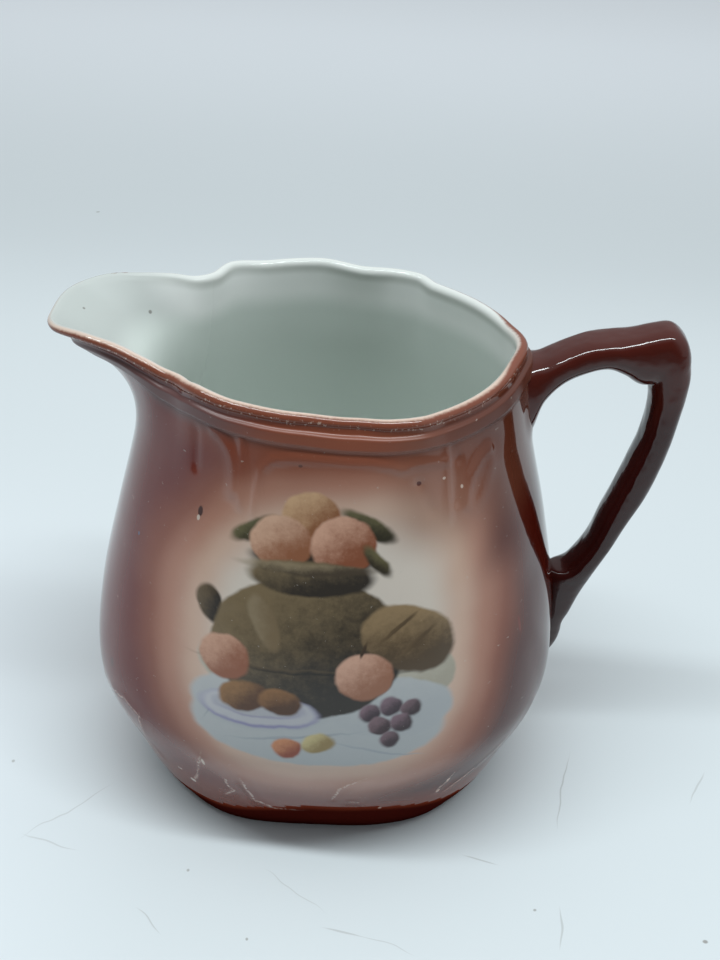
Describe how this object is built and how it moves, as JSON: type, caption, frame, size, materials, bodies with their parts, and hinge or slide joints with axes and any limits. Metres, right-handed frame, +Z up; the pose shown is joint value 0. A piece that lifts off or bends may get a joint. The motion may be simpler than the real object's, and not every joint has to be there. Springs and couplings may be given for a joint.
{
  "type": "pitcher",
  "caption": "Small glazed porcelain pitcher with a rounded square body on a foot ring, a scalloped lip drawn out to a pouring spout, and an angular loop handle.",
  "frame": {"origin": "on the surface the foot ring rests on, under the middle of the whole outline", "axes": "+Z up, +X from the spout towards the handle, +Y across the body; the spout points along -X"},
  "size_m": [0.1684, 0.1262, 0.1424],
  "materials": {
    "glazed_porcelain": "gloss glaze, airbrushed maroon brown outside fading to cream, white inside"
  },
  "bodies": {
    "root": {"pitcher": "glazed_porcelain"}
  },
  "joints": []
}
